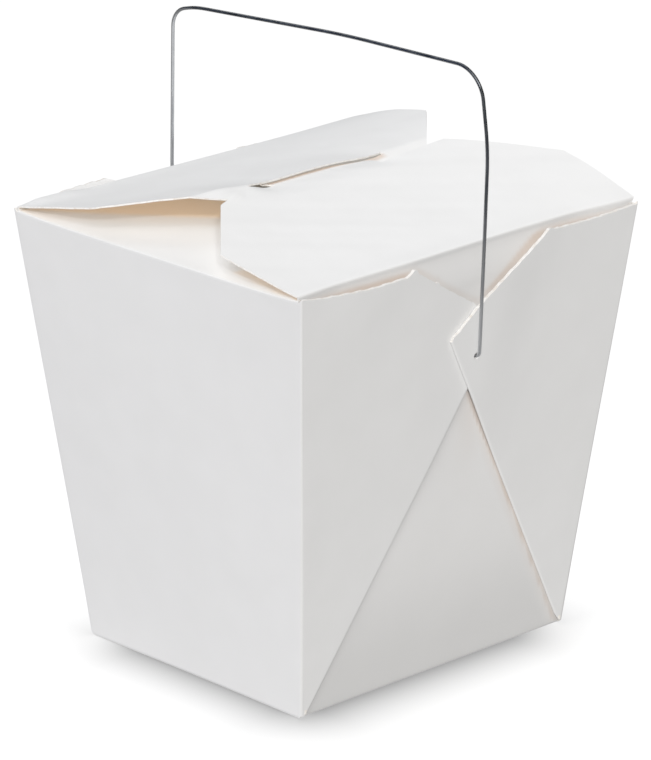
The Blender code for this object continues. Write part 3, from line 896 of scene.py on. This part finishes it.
# drawn steel: long streaks along the wire and short grey patches; its darkness over the top and lightness on
# the legs is painted reflection
def makeSteel():
    recipe = Recipe("steel_wire", (0.5, 0.52, 0.54), 0.3, metallic=1.0, attribute="drawn")
    streaks = recipe.noise(steel["streakWidth"], (1, 1, 60), 3.0)
    patches = recipe.noise(steel["patchSize"], detail=3.0)
    streak = recipe.between(streaks)
    reflectedDark = recipe.mix(streak, steel["reflectedDark"], steel["reflectedDarkStreak"])
    reflectedBright = recipe.mix(streak, steel["reflectedBright"], steel["reflectedBrightStreak"])
    first, last = (recipe.between(recipe.along(), 0.0, 1.0, *ends) for ends in steel["legs"])
    paintedReflection = recipe.mix(last, recipe.mix(first, reflectedDark, reflectedBright), reflectedBright)
    return recipe.finish(Base_Color=recipe.mix(recipe.between(patches, 0.0, 0.25), paintedReflection, steel["patch"]),
                         Roughness=recipe.between(patches, *steel["roughness"]),
                         Normal=recipe.bump(streaks, steel["bump"]))


creamSide, rawEdge, steelWire = makeCream(), makeEdge(), makeSteel()
band = makeBand([makeWhite("white_board", board["paintedWarmTint"]), creamSide, rawEdge])
tongueEnd, slotEnd = makeLid([makeWhite("white_board_ends", board["tan"]), creamSide, rawEdge])
bpy.data.objects.remove(drill)
wireBail = makeBail(steelWire)
for piece in (band, tongueEnd, slotEnd):
    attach(piece, "box")
    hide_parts("carton")
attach(wireBail, "handle")
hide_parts("wire_handle")
wireBail.visible_shadow = False      # so thin a wire leaves no shadow in such soft light
print("pieces made")

view = {
    "azimuth": radians(46.279),
    "elevation": radians(19.026),
    "roll": radians(-0.084),
    "distance": 1.10769,
    "aside": -0.0129,            # where it aims, from the middle of the object's box
    "behind": 0.0126,
    "below": -0.0179,
    "lens": 229.79,
    "sensor": 36,
}


# the direction a from the front towards +X and e up: (sin a cos e, -cos a cos e, sin e)
def wayTo(a, e):
    return Vector((sin(a) * cos(e), -cos(a) * cos(e), sin(e)))


# looks at a point near the middle of the box from a distance, turned a little about its own axis
def makeCamera():
    low, high = cadBox
    aim = (low + high) / 2 + Vector((view["aside"], view["behind"], view["below"]))
    back = wayTo(view["azimuth"], view["elevation"])
    right = Vector((cos(view["azimuth"]), sin(view["azimuth"]), 0))
    turn = Matrix((right, back.cross(right), back)).transposed().to_4x4()
    camera = addObject("camera", bpy.data.cameras.new("camera"))
    camera.data.lens = view["lens"]
    camera.data.sensor_width = view["sensor"]
    camera.data.clip_start, camera.data.clip_end = 0.05, 10
    place = Matrix.Translation(aim + back * view["distance"])
    camera.matrix_world = place @ turn @ Matrix.Rotation(view["roll"], 4, "Z")
    bpy.context.scene.camera = camera


makeCamera()

studio = {
    "floorSize": 6.0,
    "floorColour": (0.98, 0.98, 0.98),
    "floorBounce": 0.25,         # how pale the floor is to the box, which is less than what the camera sees
    "gamma": 1.5,
    # suns as (name, azimuth from the front, elevation, width of the disc, strength, colour)
    "suns": [("upperKey", 54, 39, 6, 0.36, (1.0, 0.99, 0.97)),
             ("lowerKey", 52, 26, 3, 1.17, (1.0, 0.99, 0.97)),
             ("fill", 32, 38, 30, 1.47, (1.0, 0.995, 0.985)),
             ("left", -95, 57, 50, 1.0, (0.93, 0.97, 1.0)),
             ("front", 10, 60, 50, 0.62, (0.96, 0.97, 1.02)),
             ("cool", -30, 8, 40, 0.14, (0.2, 0.35, 1.0))],
    # shadowless light up under the lid, and down on the floor alone, as (azimuth, elevation, strength)
    "underLid": (-10, -35, 1.15),
    "floorWash": (0, 90, 3.4),
    # the painted soft shadow round the base: how dark it is, how far in from the base's edges it starts, how far it
    # runs, and its middle
    "contact": 1.0,
    "contactInset": 12 * mm,
    "contactReach": 17 * mm,
    "contactMiddle": (4 * mm, -4 * mm),
    "contactFall": 1.7,          # how steeply it ends
    # half the width of the floor that has fine cells for it, and the lines across
    "fineFloor": 100 * mm,
    "fineLines": 101,
}


# a sun that lights only some of the pieces
def makeSun(name, lit, azimuth, elevation, strength, disc=0.0):
    light = bpy.data.lights.new(name, "SUN")
    light.energy, light.angle = strength, radians(disc)
    lamp = addObject(name, light)
    towards = wayTo(radians(azimuth), radians(elevation))
    lamp.rotation_euler = towards.to_track_quat("Z", "Y").to_euler()
    lamp.light_linking.receiver_collection = bpy.data.collections.new(name)
    for piece in lit:
        lamp.light_linking.receiver_collection.objects.link(piece)
    return lamp


# painted shadow on the floor: how dark it is round the base, e to the minus of a power of the distance beyond
# each pair of sides
def contactShade(x, y):
    fall = 0
    for place, middle, half in ((x, studio["contactMiddle"][0], pail["baseHalfX"]),
                                (y, studio["contactMiddle"][1], pail["baseHalfY"])):
        beyond = (np.abs(place - middle) - half + studio["contactInset"]).clip(0)
        fall = fall + (beyond / studio["contactReach"]) ** studio["contactFall"]
    return (studio["contact"] * np.exp(-fall)).clip(0, 1)


# a pale floor that the box sees darker than the camera does, the suns, and a white surround
def makeStudio():
    half, fine = studio["floorSize"] / 2, studio["fineFloor"]
    lines = np.concatenate([[-half], np.linspace(-fine, fine, studio["fineLines"]), [half]])
    x, y = np.meshgrid(lines[::-1], lines)       # from +X to -X, so that the faces point up
    kept = np.ones((len(lines) - 1, len(lines) - 1), bool)
    floorMesh = gridMesh("floor", np.stack([x, y, 0 * x], axis=-1), kept, shade=contactShade(x, y))
    floor = addObject("floor", floorMesh)
    ground = Recipe("floor", studio["floorColour"], 0.9)
    shaded = ground.mix(ground.attribute("shade"), studio["floorColour"], (0.0, 0.0, 0.0))
    floorMesh.materials.append(ground.finish(Base_Color=shaded))
    links, nodes = ground.tree.links, ground.tree.nodes
    rays = nodes.new("ShaderNodeLightPath")
    dim = nodes.new("ShaderNodeBsdfDiffuse")
    dim.inputs["Color"].default_value = (*[studio["floorBounce"]] * 3, 1)
    either = nodes.new("ShaderNodeMixShader")
    links.new(rays.outputs["Is Camera Ray"], either.inputs["Fac"])
    links.new(dim.outputs["BSDF"], either.inputs[1])
    links.new(ground.shader.outputs["BSDF"], either.inputs[2])
    links.new(either.outputs["Shader"], nodes["Material Output"].inputs["Surface"])
    box = (band, tongueEnd, slotEnd, wireBail)
    for name, azimuth, elevation, disc, strength, colour in studio["suns"]:
        lamp = makeSun(name, box, azimuth, elevation, strength, disc)
        lamp.data.color = colour
    for name, lit in (("underLid", (tongueEnd, slotEnd)), ("floorWash", (floor,))):
        makeSun(name, lit, *studio[name]).data.use_shadow = False
    scene = bpy.context.scene
    # a white surround that only the camera sees, so the floor has no dark edge from low down
    scene.world = world = bpy.data.worlds.new("surround")
    world.use_nodes = True
    world.cycles.sampling_method = "NONE"
    background = world.node_tree.nodes["Background"]
    background.inputs["Color"].default_value = (1, 1, 1, 1)
    rays = world.node_tree.nodes.new("ShaderNodeLightPath")
    world.node_tree.links.new(rays.outputs["Is Camera Ray"], background.inputs["Strength"])
    scene.view_settings.view_transform = "Standard"
    scene.view_settings.gamma = studio["gamma"]
    print("studio ready,", len(studio["suns"]) + 2, "suns")


makeStudio()
